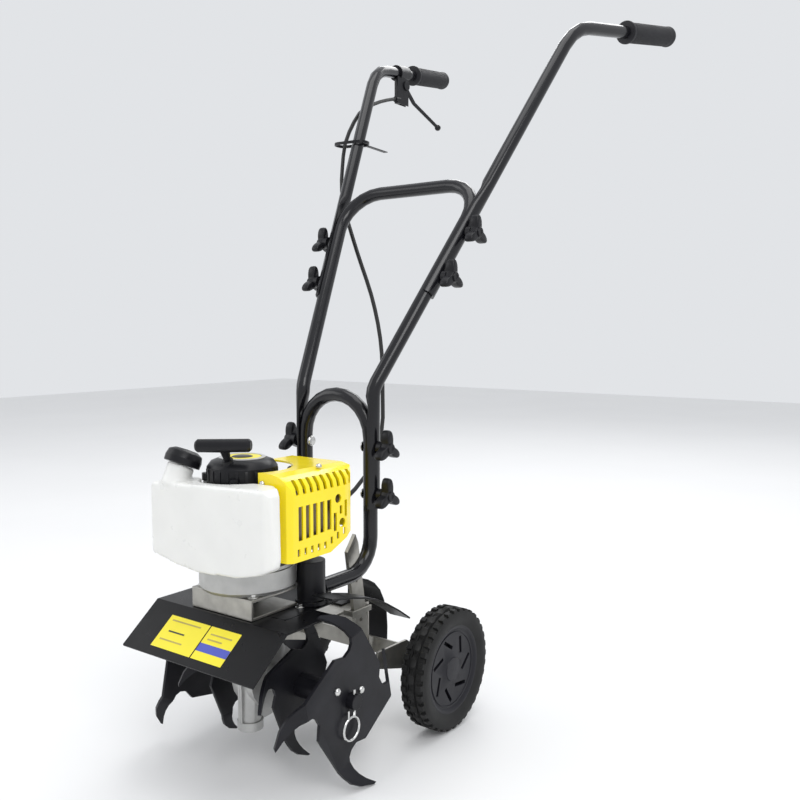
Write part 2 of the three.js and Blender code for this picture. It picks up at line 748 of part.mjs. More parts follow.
// Flat bar with a slanted top and a row of holes, leaning forward at its top; it slides along its length.
function depthStake() {
  const outline = [
    [-STAKE_HALF, 0],
    [STAKE_HALF, 0],
    [STAKE_HALF, 238],
    [STAKE_HALF - 4, 252],
    [-STAKE_HALF, 232],
  ];
  const bar = prismX(outline, -3, 3);
  const holes = [38, 66, 94, 122, 184].map((z) => rod([-9, 0, z], [9, 0, z], 3.5, 10));
  return cut(bar, ...holes)
    .rotateX(STAKE_TILT)
    .translate(STAKE_X, stakeY(36), 36);
}

const BRACKET_Z = 170;
const STRAP_BACK = 190;

// Plate behind the gearbox that guides the stake in a loop and carries the wheel bracket.
function stakeBracket() {
  const top = DECK_Z - DECK_T - GAP;
  const outline = [
    [60, top],
    [60, BRACKET_Z - 2],
    [STRAP_BACK + GAP, BRACKET_Z - 2],
    [STRAP_BACK + GAP, 99],
    [STRAP_BACK + GAP + 3.5, 99],
    [STRAP_BACK + GAP + 3.5, BRACKET_Z + 2],
    [64, BRACKET_Z + 2],
    [64, top],
  ];
  const centre = stakeY(BRACKET_Z);
  const loop = box([29, centre - 22, BRACKET_Z - 4], [STAKE_X + 7, centre + 22, BRACKET_Z + 4]);
  const hole = box([STAKE_X - 3.6, centre - 17.5, 140], [STAKE_X + 3.6, centre + 17.5, 200]);
  return cut(joined(prismX(outline, -30, 30), loop), hole);
}

// Curved sheet above the wheel bracket, behind the stake.
function rearFlap() {
  const outer = [
    [192, 206],
    [208, 197],
    [222, 183],
    [232, 165],
    [239, 143],
    [241, 120],
    [239.5, 84],
  ];
  const inner = outer.map(([y, z], i) => {
    const [a, b] = [outer[Math.max(i - 1, 0)], outer[Math.min(i + 1, outer.length - 1)]];
    const length = Math.hypot(b[0] - a[0], b[1] - a[1]);
    return [y + (2.6 * (b[1] - a[1])) / length, z - (2.6 * (b[0] - a[0])) / length];
  });
  const tab = box([-12, 150, BRACKET_Z + 2 + GAP], [12, 196, BRACKET_Z + 5]);
  const rise = box([-12, 194, BRACKET_Z + 2 + GAP], [12, 197, 204.5]);
  return joined(prismX([...outer, ...inner.reverse()], -30, 30), tab, rise);
}

const ARM_X = 100;

// Cross strap with an arm at each end and a stub axle for each wheel.
function wheelBracket() {
  const strap = box([-ARM_X, STRAP_BACK - 4, 98], [ARM_X, STRAP_BACK, 122]);
  const arm = [
    [120, 106],
    [214, 78],
    [232, 78],
    [236, 96],
    [192, 128],
    [122, 130],
  ];
  const ends = [1, -1].flatMap((s) => [
    prismX(arm, s * ARM_X - 2, s * ARM_X + 2),
    rod([s * (ARM_X - 4), WHEEL_Y, WHEEL_R], [s * (WHEEL_X + 8.5), WHEEL_Y, WHEEL_R], 6, 14),
  ]);
  return joined(strap, ...ends);
}

const wheelPoint = (x) => [x, WHEEL_Y, WHEEL_R];

function wheelDisc() {
  const bore = 6 + GAP;
  const profile = [
    [bore, -17],
    [14, -17],
    [14, 3],
    [55, 3],
    [55, -15],
    [65, -15],
    [65, 15],
    [60, 15],
    [57, 12],
    [22, 10.5],
    [18, 13],
    [0, 13.5],
    [0, 9],
    [bore, 9],
    [bore, -17],
  ];
  const disc = turned(profile, wheelPoint(WHEEL_X), wheelPoint(WHEEL_X + 1), 28);
  const slots = Array.from({ length: 7 }, (_, i) => {
    const slot = box([-14, -13, -2.5], [20, 13, 2.5]).rotateX(Math.PI / 4).translate(0, 38, 0);
    return slot.rotateX((i * 2 * Math.PI) / 7).translate(...wheelPoint(WHEEL_X));
  });
  return cut(disc, ...slots);
}

function tyre() {
  const w = WHEEL_W / 2;
  const profile = [
    [66, -15],
    [72, -w],
    [83, -w],
    [WHEEL_R, -w + 9],
    [WHEEL_R, w - 9],
    [83, w],
    [72, w],
    [66, 15],
    [66, -15],
  ];
  return turned(profile, wheelPoint(WHEEL_X), wheelPoint(WHEEL_X + 1), 28);
}

function rear() {
  add("depth_stake", "zinc", depthStake());
  add("stake_bracket", "zinc", stakeBracket());
  add("rear_flap", "sheet", rearFlap());
  add("wheel_bracket", "zinc", wheelBracket());
  for (const [name, s] of SIDES) {
    add("wheel_" + name, "black", sided(wheelDisc(), s));
    add("tyre_" + name, "tyre", sided(tyre(), s));
  }
}

// ---- engine ----
function clutchHousing() {
  const floor = CHANNEL_TOP + GAP;
  const height = 276 - floor;
  const profile = [
    [14, 0],
    [HOUSING_R - 4, 0],
    [HOUSING_R, 5],
    [HOUSING_R, height],
    [HOUSING_R - 4, height],
    [HOUSING_R - 4, 3.5],
    [14, 3.5],
    [14, 0],
  ];
  return turned(profile, onShaft(floor), onShaft(floor + 1), 28);
}

function crankcase() {
  const flange = rod(onShaft(276.3), onShaft(281), HOUSING_R - 2, 32);
  const body = rod(onShaft(280), onShaft(344), 36, 28);
  const port = box([-30, -10, 286], [30, 9, 338]);
  const chamber = rod(onShaft(292), onShaft(332), 28, 20);
  const bore = rod(onShaft(260), onShaft(360), 9.5, 20);
  const throat = rod([0, -20, 312], [0, 20, 312], 20, 24);
  return cut(joined(flange, body, port), chamber, bore, throat);
}

function cylinder() {
  const z = 312;
  const barrel = rod([0, 9.4, z], [0, 50, z], 25, 18);
  const base = box([-29, 9.4, z - 25], [29, 14, z + 25]);
  const fins = Array.from({ length: 5 }, (_, i) => box([-32, 18 + i * 7, z - 30], [32, 20 + i * 7, z + 30]));
  const exhaust = box([20, 20, z - 14], [45, 44, z + 14]);
  const intake = box([-38, 16, z - 12], [-20, 44, z + 12]);
  const bore = rod([0, 0, z], [0, 44, z], 20, 16);
  return cut(joined(barrel, base, ...fins, exhaust, intake), bore);
}

function sparkPlug() {
  const at = (d) => [0, 51 + d, 312 + d * 0.1];
  return joined(rod(at(0), at(6), 7, 12), rod(at(5), at(12), 9, 6), rod(at(11), at(21), 5.5, 12));
}

function crankshaft() {
  const shaft = rod(onShaft(264), onShaft(380), 8, 16);
  const webs = [298, 318].map((z) => rod(onShaft(z), onShaft(z + 8), 26, 20));
  const pin = rod([0, SHAFT_Y + 16, 300], [0, SHAFT_Y + 16, 324], 6, 16);
  const shoes = cut(rod(onShaft(260), onShaft(269), 35, 24), box([-3, -100, 250], [3, 60, 264]));
  return joined(shaft, ...webs, pin, shoes);
}

function flywheel() {
  const disc = rod(onShaft(350), onShaft(360), 46, 28);
  const blades = Array.from({ length: 10 }, (_, i) =>
    box([22, -1.5, 358], [46, 1.5, 374])
      .rotateZ((i * Math.PI) / 5)
      .translate(0, SHAFT_Y, 0),
  );
  return cut(joined(disc, ...blades), rod(onShaft(340), onShaft(380), 8 + GAP, 20));
}

function fanHousing() {
  const profile = [
    [12, 0],
    [FAN_R, 0],
    [FAN_R, 41],
    [30, 41],
    [30, 38],
    [FAN_R - 3, 38],
    [FAN_R - 3, 2.5],
    [12, 2.5],
    [12, 0],
  ];
  const drum = turned(profile, onShaft(344.6), onShaft(345), 32);
  return drum;
}

const PULL = vec([0.1, -0.4, 0.91]).normalize(); // the way the starter rope runs out
const ropeAt = (d) => vec([6, -62, 406]).addScaledVector(PULL, d).toArray();

const starterRim = (a, z) => [
  STARTER_X + (STARTER_R + 1.5) * Math.cos(a),
  STARTER_Y + (STARTER_R + 1.5) * Math.sin(a),
  z,
];

function starterHousing() {
  const profile = [
    [42, 0],
    [STARTER_R, 0],
    [STARTER_R, 20],
    [STARTER_R - 5, 27],
    [STARTER_R - 15, STARTER_TOP - 386],
    [0, STARTER_TOP - 386],
    [0, STARTER_TOP - 389],
    [38, 24],
    [42, 0],
  ];
  const dome = turned(profile, [STARTER_X, STARTER_Y, 386], [STARTER_X, STARTER_Y, 387], 26);
  const lugs = [0.4, 2.2, 3.7, 5.3].map((a) =>
    rod(starterRim(a, 386), starterRim(a, 396), 6.5, 8),
  );
  const guide = rod(ropeAt(0), ropeAt(14), 8, 12, 7);
  const eye = rod(ropeAt(-4), ropeAt(20), 2.6, 10);
  return cut(joined(dome, ...lugs, guide), eye);
}

function starterGrip() {
  const bar = vec([0.86, 0.5, 0.02]).normalize();
  const end = (s) => vec(ropeAt(35)).addScaledVector(bar, s).toArray();
  const profile = [
    [0, 0],
    [6, 0],
    [8.5, 3],
    [9, 36],
    [8.5, 69],
    [6, 72],
    [0, 72],
  ];
  const handleBar = turned(profile, end(-36), end(0), 18);
  const stem = rod(ropeAt(15), ropeAt(32), 4.5, 12, 7);
  return joined(handleBar, stem);
}

function muffler() {
  const shell = prismX(roundRect(-36, 304, 46, 374, 14), 60, 97);
  const port = box([45.4, 22, 300], [64, 42, 324]);
  const outlet = rod([78, -20, 306], [78, -20, 292], 7, 14);
  return joined(shell, port, outlet);
}

function carburettor() {
  const body = box([-60, 16, 298], [-38.4, 44, 326]);
  const bowl = rod([-49, 30, 284], [-49, 30, 300], 11, 20);
  const top = rod([-49, 36, 322], [-49, 36, 334], 7, 16);
  const stop = box([-53, 40, 311], [-43, 46.6, 321]);
  return joined(body, bowl, top, stop);
}

function airCleaner() {
  const body = prismX(roundRect(0, 286, 60, 342, 10), -100, -60.4);
  return cut(body, rod([-62, 30, 312], [-50, 30, 312], 8, 16));
}

// Shape of the engine cover's outside, or of its inside when inset.
function coverSolid(inset) {
  const top = 405 - inset;
  const bottom = 296 - (inset ? 20 : 0);
  const right = COVER_SIDE - inset;
  const left = inset ? -60 : -16;
  const back = COVER_BACK - inset;
  const front = -58 + inset;
  const across = [
    [left, bottom],
    [right, bottom],
    [right, top - 24],
    [right - 2, top - 16],
    [right - 8, top - 8],
    [right - 17, top - 3],
    [right - 30, top],
    [left, top],
  ];
  const plan = [
    [left, front],
    [right - 6, front],
    [right, front + 6],
    [right, back - 26],
    [right - 5, back - 12],
    [right - 16, back],
    [left, back],
  ];
  return common(prismY(across, -80, 100), prismZ(plan, 250, 420));
}

function engineCover() {
  const outer = coverSolid(0);
  const fan = rod(onShaft(280), onShaft(430), FAN_R + 3.5, 32);
  const corner = box([-40, -80, 250], [30, 20, 430]);
  const lower = prismX(
    [
      [4, 290],
      [62, 290],
      [90, 270],
      [90, 322],
      [62, 314],
    ],
    -80,
    140,
  );
  const shell = cut(outer, fan, corner, lower, coverSolid(2.6));
  const opening = (y, z, width, height) => box([96, y, z], [120, y + width, z + height]);
  const tall = [0, 1, 2, 3, 4].map((i) => opening(-42 + i * 13.5, 322 + i, 8, 43 - i));
  const short = [
    opening(25, 322, 6, 24),
    opening(37, 343, 5, 11),
    opening(47, 338, 5, 22),
  ];
  const brow = Array.from({ length: 9 }, (_, i) => box([84, -46 + i * 13, 380], [120, -40 + i * 13, 398]));
  const rise = (i) => Math.max(0, i - 4) * 4; // the lower edge of the cover slopes up towards the back
  const low = Array.from({ length: 8 }, (_, i) => opening(-44 + i * 12.5, 303 + rise(i), 4.5, 9));
  const round = [
    [34, 364],
    [42, 331],
  ].map(([y, z]) => rod([96, y, z], [120, y, z], 6, 16));
  return cut(shell, ...tall, ...short, ...brow, ...low, ...round);
}

const CAP_AXIS = vec([0.1, 0.42, 1]).normalize();
const capAt = (d) => vec([-66, -80, 407]).addScaledVector(CAP_AXIS, d).toArray();

function fuelTank() {
  const front = [
    [-100, 290],
    [-55, 282],
    [-10, 278],
    [60, 282],
    [98, 291],
    [115, 300],
    [119, 312],
    [114, 388],
    [105, 394],
    [0, 391],
    [-98, 385],
    [-108, 377],
    [-109, 360],
    [-105, 300],
  ];
  const plan = [
    [-110, -92],
    [-100, -103],
    [0, -107],
    [106, -104],
    [117, -97],
    [119, -88],
    [84, -62],
    [-60, -62],
    [-60, -50],
    [-108, -50],
  ];
  const body = common(prismY(front, -120, -40), prismZ(plan, 260, 420));
  const hollow = rod(onShaft(250), onShaft(430), FAN_R + 3.5, 32);
  const lower = rod(onShaft(250), onShaft(283), HOUSING_R + 1.5, 32);
  const neck = rod(capAt(-30), capAt(0), 18, 18);
  const mouth = rod(capAt(-22), capAt(2), 14, 18);
  return cut(joined(cut(body, hollow, lower), neck), mouth);
}

function fuelCap() {
  const profile = [
    [0, 0],
    [24, 0],
    [24.5, 8],
    [22.5, 16],
    [15, 20],
    [0, 21],
  ];
  return turned(profile, capAt(GAP), capAt(1), 24);
}

function engine() {
  add("clutch_housing", "aluminium", clutchHousing());
  add("crankcase", "aluminium", crankcase());
  add("cylinder", "aluminium", cylinder());
  add("spark_plug", "steel", sparkPlug());
  add("crankshaft", "steel", crankshaft());
  add("flywheel", "aluminium", flywheel());
  add("fan_housing", "aluminium", fanHousing());
  add("starter_housing", "black", starterHousing());
  add("starter_grip", "black", starterGrip());
  add("muffler", "burnt", muffler());
  add("carburettor", "aluminium", carburettor());
  add("air_cleaner", "black", airCleaner());
  add("engine_cover", "yellow", engineCover());
  add("fuel_tank", "tank", fuelTank());
  add("fuel_cap", "black", fuelCap());
}

handle();
throttle();
deck();
gearbox();
tines();
rear();
engine();

const extent = new THREE.Box3().setFromObject(tiller);
// The origin is on the ground, under the middle of the whole tiller.
tiller.position.set(0, -(extent.min.y + extent.max.y) / 2, -extent.min.z);

export default tiller;
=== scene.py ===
import json
import math

import bmesh
import bpy
from mathutils import Matrix, Vector
from mathutils.bvhtree import BVHTree


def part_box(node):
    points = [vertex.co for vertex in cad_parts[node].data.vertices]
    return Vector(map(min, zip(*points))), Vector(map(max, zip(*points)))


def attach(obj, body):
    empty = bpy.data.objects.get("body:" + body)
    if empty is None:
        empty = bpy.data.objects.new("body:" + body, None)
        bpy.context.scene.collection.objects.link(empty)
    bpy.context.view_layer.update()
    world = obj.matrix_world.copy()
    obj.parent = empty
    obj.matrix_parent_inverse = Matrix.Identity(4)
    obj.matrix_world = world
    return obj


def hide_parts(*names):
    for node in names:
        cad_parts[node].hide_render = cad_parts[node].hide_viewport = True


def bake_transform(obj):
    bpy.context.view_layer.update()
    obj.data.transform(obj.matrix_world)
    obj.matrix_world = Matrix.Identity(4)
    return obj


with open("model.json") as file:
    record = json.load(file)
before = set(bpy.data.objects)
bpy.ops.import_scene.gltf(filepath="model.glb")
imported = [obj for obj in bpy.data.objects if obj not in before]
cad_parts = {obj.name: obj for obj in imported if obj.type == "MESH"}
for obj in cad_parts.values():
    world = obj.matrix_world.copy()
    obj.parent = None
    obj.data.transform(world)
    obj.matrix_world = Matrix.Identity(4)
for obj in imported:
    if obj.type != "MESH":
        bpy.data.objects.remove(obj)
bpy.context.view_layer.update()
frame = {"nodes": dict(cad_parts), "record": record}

# ---- places: millimetres from the middle of the tine axle's line on the ground ----
AXLE = (Vector(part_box("tine_axle")[0]) + Vector(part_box("tine_axle")[1])) / 2
AXLE_HEIGHT = 116.5
ORIGIN = Vector((0, AXLE.y, AXLE.z - AXLE_HEIGHT / 1000))
BODY_OF = {n: b for b, nodes in frame["record"]["behaviour"]["bodies"].items() for n in nodes}
SLOT_OF = {s["node"]: s["material_slot"] for s in frame["record"]["subparts"]}
SIDES = (("left", 1), ("right", -1))
UP = (0, 0, 1)


def at(x, y, z):
    return ORIGIN + Vector((x, y, z)) / 1000


def centre(node):
    low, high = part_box(node)
    return Vector([(a + b) / 2 for a, b in zip(low, high)])


# ---- camera: 36 degrees round from the front, above the engine and tilted down by 5 degrees ----
LENS, SENSOR = 39.57, 36
FORWARD = Vector((-0.5857, 0.8061, -0.0843)).normalized()
RIGHT = Vector((0.8090, 0.5878, 0)).normalized()
VIEWPOINT = at(834.0, -832.8, 588.2)

camera_data = bpy.data.cameras.new("camera")
camera_data.lens = LENS
camera_data.sensor_width = SENSOR
camera = bpy.data.objects.new("camera", camera_data)
bpy.context.scene.collection.objects.link(camera)
turn = Matrix((RIGHT, RIGHT.cross(FORWARD), -FORWARD)).transposed().to_4x4()
camera.matrix_world = Matrix.Translation(VIEWPOINT) @ turn
bpy.context.scene.camera = camera

# ---- materials ----
GRAIN_DEPTH = 0.0003
COAT_ROUGHNESS = 0.1
SCATTER_RADIUS = (0.02, 0.02, 0.018)
ROUGH_SPREAD = 0.08
LEAST_ROUGHNESS = 0.02
ROUGH_SPOTS = 2.3  # scale of the roughness blotches over that of the colour's


def finish(name, color, rough, metal=0.0, grain=400, spots=25, bump=0.1, vary=0.12,
           coat=0.0, stretch=(1, 1, 1), see=0.0, dust=0.0, shine=0.5):
    """Base colour with slow blotches, roughness with its own, and a fine raised grain."""
    made = bpy.data.materials.new(name)
    made.use_nodes = True
    nodes, links = made.node_tree.nodes, made.node_tree.links
    shader = nodes["Principled BSDF"]
    shader.inputs["Metallic"].default_value = metal
    shader.inputs["Specular IOR Level"].default_value = shine
    shader.inputs["Coat Weight"].default_value = coat
    shader.inputs["Coat Roughness"].default_value = COAT_ROUGHNESS
    shader.inputs["Subsurface Weight"].default_value = see
    if see:
        shader.inputs["Subsurface Radius"].default_value = SCATTER_RADIUS
        shader.inputs["Subsurface Scale"].default_value = 1.0
    place = nodes.new("ShaderNodeTexCoord")
    mapping = nodes.new("ShaderNodeMapping")
    mapping.inputs["Scale"].default_value = stretch
    links.new(place.outputs["Object"], mapping.inputs["Vector"])

    def noise(scale, detail):
        node = nodes.new("ShaderNodeTexNoise")
        node.inputs["Scale"].default_value = scale
        node.inputs["Detail"].default_value = detail
        links.new(mapping.outputs["Vector"], node.inputs["Vector"])
        return node.outputs["Fac"]

    ramp = nodes.new("ShaderNodeValToRGB")
    ramp.color_ramp.elements[0].position = 0.3
    ramp.color_ramp.elements[1].position = 0.7
    ramp.color_ramp.elements[0].color = (*[c * (1 - vary) for c in color], 1)
    ramp.color_ramp.elements[1].color = (*[min(1, c * (1 + vary)) for c in color], 1)
    links.new(noise(spots, 4), ramp.inputs["Fac"])
    tint = ramp.outputs["Color"]
    if dust:
        tint = dusted(nodes, links, tint, color, dust)
    links.new(tint, shader.inputs["Base Color"])
    spread = nodes.new("ShaderNodeMapRange")
    spread.inputs["To Min"].default_value = max(LEAST_ROUGHNESS, rough - ROUGH_SPREAD)
    spread.inputs["To Max"].default_value = min(1, rough + ROUGH_SPREAD)
    links.new(noise(spots * ROUGH_SPOTS, 5), spread.inputs["Value"])
    links.new(spread.outputs["Result"], shader.inputs["Roughness"])
    raised = nodes.new("ShaderNodeBump")
    raised.inputs["Strength"].default_value = bump
    raised.inputs["Distance"].default_value = GRAIN_DEPTH
    links.new(noise(grain, 3), raised.inputs["Height"])
    links.new(raised.outputs["Normal"], shader.inputs["Normal"])
    return made


def dusted(nodes, links, tint, color, dust):
    """The tint, mixed towards a paler one where the surface faces up."""
    facing = nodes.new("ShaderNodeNewGeometry")
    split = nodes.new("ShaderNodeSeparateXYZ")
    links.new(facing.outputs["Normal"], split.inputs["Vector"])
    amount = nodes.new("ShaderNodeMath")
    amount.operation = "MULTIPLY"
    amount.use_clamp = True
    links.new(split.outputs["Z"], amount.inputs[0])
    amount.inputs[1].default_value = dust
    mix = nodes.new("ShaderNodeMix")
    mix.data_type = "RGBA"
    links.new(amount.outputs["Value"], mix.inputs["Factor"])
    links.new(tint, mix.inputs["A"])
    mix.inputs["B"].default_value = (*[c * 0.6 + 0.12 for c in color], 1)
    return mix.outputs["Result"]


# name: base colour, roughness, and what differs from finish's own values
LOOK_SETTINGS = {
    "black_paint": ((0.007, 0.007, 0.009), 0.2, dict(grain=260, bump=0.08, coat=0.25, shine=0.3)),
    "black_sheet": ((0.006, 0.006, 0.007), 0.3, dict(grain=320, bump=0.12, shine=0.18)),
    "tine_steel": ((0.01, 0.01, 0.013), 0.36, dict(grain=180, bump=0.2, vary=0.35, shine=0.22)),
    "zinc": ((0.38, 0.37, 0.34), 0.34, dict(metal=0.9, grain=500, spots=60, bump=0.08, vary=0.14)),
    "aluminium": ((0.48, 0.48, 0.47), 0.44, dict(metal=0.75, grain=900, spots=40, bump=0.3, vary=0.1)),
    "yellow_plastic": ((0.96, 0.76, 0.002), 0.24, dict(grain=700, bump=0.04, coat=0.3, vary=0.03)),
    "white_plastic": ((0.79, 0.79, 0.765), 0.3, dict(grain=350, bump=0.06, vary=0.02, see=0.15)),
    "black_plastic": ((0.008, 0.008, 0.01), 0.34, dict(grain=1500, bump=0.2, vary=0.15, shine=0.26)),
    "rubber": ((0.012, 0.012, 0.015), 0.6, dict(grain=1400, bump=0.3, vary=0.2)),
    "cable": ((0.015, 0.015, 0.015), 0.4, dict(grain=900, bump=0.1)),
    "wheel_plastic": ((0.009, 0.009, 0.013), 0.45, dict(grain=1200, bump=0.2, vary=0.1, shine=0.3)),
    "tyre": ((0.012, 0.012, 0.012), 0.62, dict(grain=900, bump=0.3, vary=0.3, dust=0.012, shine=0.3)),
    "steel": ((0.62, 0.62, 0.61), 0.26, dict(metal=1.0, grain=800, bump=0.06, stretch=(1, 1, 6))),
    "bronze": ((0.62, 0.42, 0.16), 0.32, dict(metal=1.0, grain=600, bump=0.08)),
    "burnt_steel": ((0.24, 0.2, 0.17), 0.5, dict(metal=0.9, grain=300, bump=0.2, vary=0.3)),
    "label_yellow": ((0.86, 0.74, 0.02), 0.35, dict(grain=600, bump=0.02, vary=0.03)),
    "label_blue": ((0.06, 0.08, 0.45), 0.35, dict(grain=600, bump=0.02, vary=0.05)),
    "label_silver": ((0.6, 0.6, 0.6), 0.3, dict(metal=0.7, grain=900, bump=0.03)),
    "label_grey": ((0.45, 0.36, 0.08), 0.4, dict(grain=600, bump=0.02)),
    "label_black": ((0.012, 0.012, 0.012), 0.3, dict(grain=900, bump=0.03)),
}
LOOKS = {name: finish(name, color, rough, **more) for name, (color, rough, more) in LOOK_SETTINGS.items()}

# ---- mesh helpers ----
BEVEL_SEGMENTS = 2
WELD = 0.00002
BLOCK_FACES = ((0, 1, 2, 3), (4, 5, 6, 7), (0, 1, 5, 4), (1, 2, 6, 5), (2, 3, 7, 6), (3, 0, 4, 7))


def mesh_of(work, name):
    """The bmesh as a named mesh; the bmesh itself is freed."""
    mesh = bpy.data.meshes.new(name)
    work.to_mesh(mesh)
    work.free()
    return mesh


def piece(name, mesh, look, body, angle=35):
    made = bpy.data.objects.new(name, mesh)
    bpy.context.scene.collection.objects.link(made)
    mesh.materials.clear()
    mesh.materials.append(LOOKS[look])
    mesh.shade_smooth()
    mesh.set_sharp_from_angle(angle=math.radians(angle))
    if body:
        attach(made, body)
    return made


def bevelled(made, width, angle=32):
    modifier = made.modifiers.new("edges", "BEVEL")
    modifier.width = width / 1000
    modifier.segments = BEVEL_SEGMENTS
    modifier.limit_method = "ANGLE"
    modifier.angle_limit = math.radians(angle)
    modifier.harden_normals = True
    return made


def refined(node, width, angle=35, dissolve=2.0, look=None):
    """A copy of the CAD solid with its flat faces whole and its edges broken."""
    work = bmesh.new()
    work.from_mesh(frame["nodes"][node].data)
    bmesh.ops.remove_doubles(work, verts=work.verts, dist=WELD)
    bmesh.ops.dissolve_limit(
        work, angle_limit=math.radians(dissolve), verts=work.verts, edges=work.edges, delimit=set()
    )
    mesh = mesh_of(work, node + "_fine")
    made = piece(node + "_fine", mesh, look or SLOT_OF[node], BODY_OF[node], angle)
    if width:
        bevelled(made, width, angle)
    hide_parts(node)
    return made


def surface(name, rings, look, body, caps=True, angle=35):
    """Joins equal closed rings of points: a face on each end, or the last ring joined to the first."""
    work = bmesh.new()
    grid = [[work.verts.new(p) for p in ring] for ring in rings]
    n = len(grid[0])
    for a, b in zip(grid, grid[1:] + ([] if caps else grid[:1])):
        for i in range(n):
            work.faces.new((a[i], a[(i + 1) % n], b[(i + 1) % n], b[i]))
    if caps:
        work.faces.new(list(reversed(grid[0])))
        work.faces.new(grid[-1])
    bmesh.ops.recalc_face_normals(work, faces=work.faces)
    return piece(name, mesh_of(work, name), look, body, angle)


def blocks(name, corner_sets, look, body):
    """Blocks in one mesh, each from four points round one face and four round the opposite one."""
    work = bmesh.new()
    for points in corner_sets:
        corners = [work.verts.new(p) for p in points]
        for quad in BLOCK_FACES:
            work.faces.new([corners[c] for c in quad])
    bmesh.ops.recalc_face_normals(work, faces=work.faces)
    return piece(name, mesh_of(work, name), look, body)


def frame_along(axis):
    axis = Vector(axis).normalized()
    side = axis.cross(Vector((0, 0, 1)) if abs(axis.z) < 0.9 else Vector((0, 1, 0))).normalized()
    return axis, side, axis.cross(side)


def lathe(name, profile, base, axis, look, body, n, closed=False, wave=None, angle=35):
    """Turns (radius, height) points in mm round the axis from base, a point in metres."""
    axis, side, other = frame_along(axis)
    rings = []
    for r, h in profile:
        ring = []
        for i in range(n):
            a = 2 * math.pi * i / n
            radius = wave(i, r, h) if wave else r
            outward = side * math.cos(a) + other * math.sin(a)
            ring.append(base + axis * h / 1000 + outward * radius / 1000)
        rings.append(ring)
    return surface(name, rings, look, body, caps=not closed, angle=angle)


def prism(name, outline, base, axis, start, depth, look, body, width):
    """An outline of (u, v) in mm, pushed along axis."""
    axis, side, other = frame_along(axis)
    rings = []
    for h in (start, start + depth):
        rings.append([base + (side * u + other * v + axis * h) / 1000 for u, v in outline])
    return bevelled(surface(name, rings, look, body, angle=30), width)


def hex_bolt(name, base, axis, body, r, washer):
    axis = Vector(axis).normalized()
    turns = [2 * math.pi * i / 6 for i in range(6)]
    hexagon = [(r * math.cos(a), r * math.sin(a)) for a in turns]
    prism(name + "_head", hexagon, base, axis, 1.4, r * 0.8, "steel", body, 0.5)
    rim = [(1, 0.1), (washer, 0.1), (washer, 1.2), (washer - 0.4, 1.6), (1, 1.6)]
    lathe(name + "_washer", rim, base, axis, "steel", body, 24)


def dome_bolt(name, base, axis, body, r):
    dome = [(0.5, 0.1), (r, 0.1), (r, 1.2), (r * 0.92, 2.4), (r * 0.7, 3.6), (r * 0.4, 4.3), (0.5, 4.5)]
    lathe(name, dome, base, axis, "steel", body, 24)


# ---- CAD nodes that are right as they are, or with finer edges ----
for node, made in frame["nodes"].items():
    made.data.materials.clear()
    made.data.materials.append(LOOKS[SLOT_OF[node]])

EDGE_WIDTH = {
    "front_guard": 0.8, "frame_plate": 0.8, "rear_guard_left": 0.8, "rear_guard_right": 0.8,
    "rear_flap": 0.8, "base_channel": 0.9, "depth_stake": 0.6, "stake_bracket": 0.9,
    "wheel_bracket": 0.8, "inner_tine_left": 0.6, "inner_tine_right": 0.6, "outer_tine_left": 0.6,
    "outer_tine_right": 0.6, "gearbox_left": 0.8, "gearbox_right": 0.8, "clutch_housing": 1.0,
    "crankcase": 1.2, "cylinder": 0.5, "fan_housing": 0.9, "starter_housing": 1.2,
    "starter_grip": 1.0, "muffler": 1.2, "carburettor": 0.8, "air_cleaner": 1.5, "engine_cover": 1.0,
    "fuel_cap": 0.8, "throttle_clamp": 0.7, "throttle_lever": 0.8, "handle_post_left": 0.8,
    "handle_post_right": 0.8, "wheel_left": 0.8, "wheel_right": 0.8, "cable_tie": 0.3,
}
OTHER_LOOK = {"wheel_left": "wheel_plastic", "wheel_right": "wheel_plastic"}
TUBES = ("lower_arch", "mid_handle", "upper_handle_left", "upper_handle_right", "throttle_cable",
         "hitch_pin_left", "hitch_pin_right")
for node, width in EDGE_WIDTH.items():
    refined(node, width, look=OTHER_LOOK.get(node))
for node in TUBES:
    refined(node, 0, angle=40, dissolve=0.1)
refined("tine_axle", 1.2, look="tine_steel")

# ---- the blow-moulded tank: every edge and corner soft ----
tank = refined("fuel_tank", 0, dissolve=0.05)
remesh = tank.modifiers.new("skin", "REMESH")
remesh.mode = "VOXEL"
remesh.voxel_size = 0.002
remesh.use_smooth_shade = True
soften = tank.modifiers.new("soften", "SMOOTH")
soften.factor = 0.5
soften.iterations = 14

# ---- tyres: a rounded carcass with two grooves, cross cuts and shoulder blocks ----
TYRE_STEPS = 144
TREAD_R = 89
BED_HALF = 17.5   # the shoulder blocks stand on a bed this far out from the middle plane
BAND_HALF = 5     # the middle band is cut across
CUT_PERIOD = 6    # steps from one cut to the next
CUT_WIDTH = 2     # steps
CUT_DEPTH = 3.4
BAND_DEPTH = 0.4
HALF_CARCASS = [
    (66, 15), (70, 18.6), (76, 20), (81, 19.8), (85, 18.2), (87.3, 16), (88.3, 13.5), (88.9, 10),
    (TREAD_R, 7), (TREAD_R, 5.8), (86.6, 5.4), (86.6, 4.2), (TREAD_R, 3.8),
]
CARCASS = [(r, -h) for r, h in HALF_CARCASS] + [(TREAD_R, 0)] + HALF_CARCASS[::-1]
BLOCKS_ROUND = 36
# radius, half length round the wheel, and the near and far edge from the middle plane
BLOCK_FOOT = (83, 4.6, 11, 19.4)
BLOCK_TOP = (88.4, 3.8, 8.5, 17.2)
DISC_FACE = 0.0118  # the disc's outer face, in metres from the middle plane
